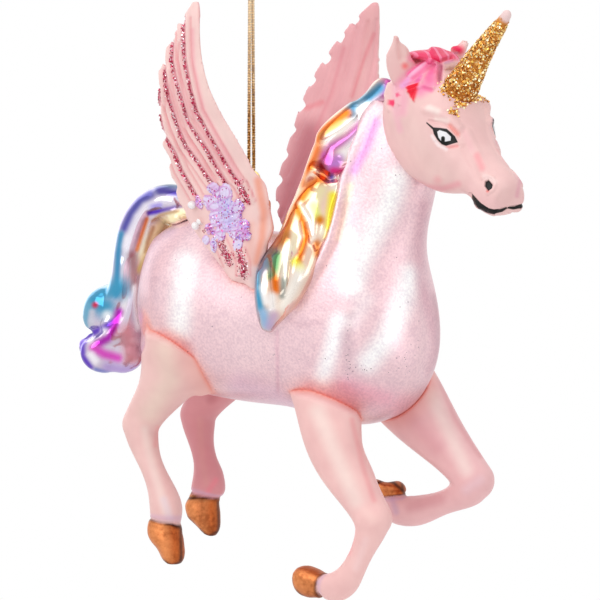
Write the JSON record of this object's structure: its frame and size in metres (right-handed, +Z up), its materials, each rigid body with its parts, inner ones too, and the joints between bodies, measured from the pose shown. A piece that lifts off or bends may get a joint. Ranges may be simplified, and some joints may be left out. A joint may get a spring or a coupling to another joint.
{
  "type": "hanging unicorn ornament",
  "caption": "Galloping winged unicorn ornament of blown glass and cast resin, hung from a gold cord loop through a wire eye and cap.",
  "frame": {"origin": "middle of the knot that the ornament hangs from", "axes": "+X the way the unicorn faces, +Y its left, +Z up along the hanging cord"},
  "size_m": [0.1372, 0.0698, 0.1519],
  "materials": {
    "gold_cord": "satin",
    "gold_metal": "gloss",
    "frosted_glass": "satin",
    "rainbow_glass": "polished",
    "pink_resin": "satin",
    "gold_glitter": "matte",
    "lilac_glitter": "satin",
    "pearl": "gloss"
  },
  "bodies": {
    "knot": {"cord_knot": "gold_cord"},
    "cord": {"hanging_cord": "gold_cord"},
    "hanger": {"hanger_wire": "gold_metal", "hanger_cap": "gold_metal"},
    "figure": {"glass_body": "frosted_glass", "mane": "rainbow_glass", "tail": "rainbow_glass", "head": "pink_resin", "horn": "gold_glitter", "right_wing": "pink_resin", "left_wing": "pink_resin", "right_wing_flower": "lilac_glitter", "left_wing_flower": "lilac_glitter", "right_pearls": "pearl", "left_pearls": "pearl", "right_fore_leg": "pink_resin", "left_fore_leg": "pink_resin", "right_hind_leg": "pink_resin", "left_hind_leg": "pink_resin"}
  },
  "joints": [
    {"name": "cord_swing", "type": "hinge", "parent": "knot", "child": "cord", "pos_m": [0, 0, 0], "axis": [0, 1, 0], "range_deg": [-30, 30]},
    {"name": "eye_rock", "type": "hinge", "parent": "cord", "child": "hanger", "pos_m": [0, 0, -0.0466], "axis": [1, 0, 0], "range_deg": [-35, 35]},
    {"name": "cap_pull", "type": "slide", "parent": "hanger", "child": "figure", "axis": [0, 0, -1], "range_m": [0, 0.018]}
  ]
}
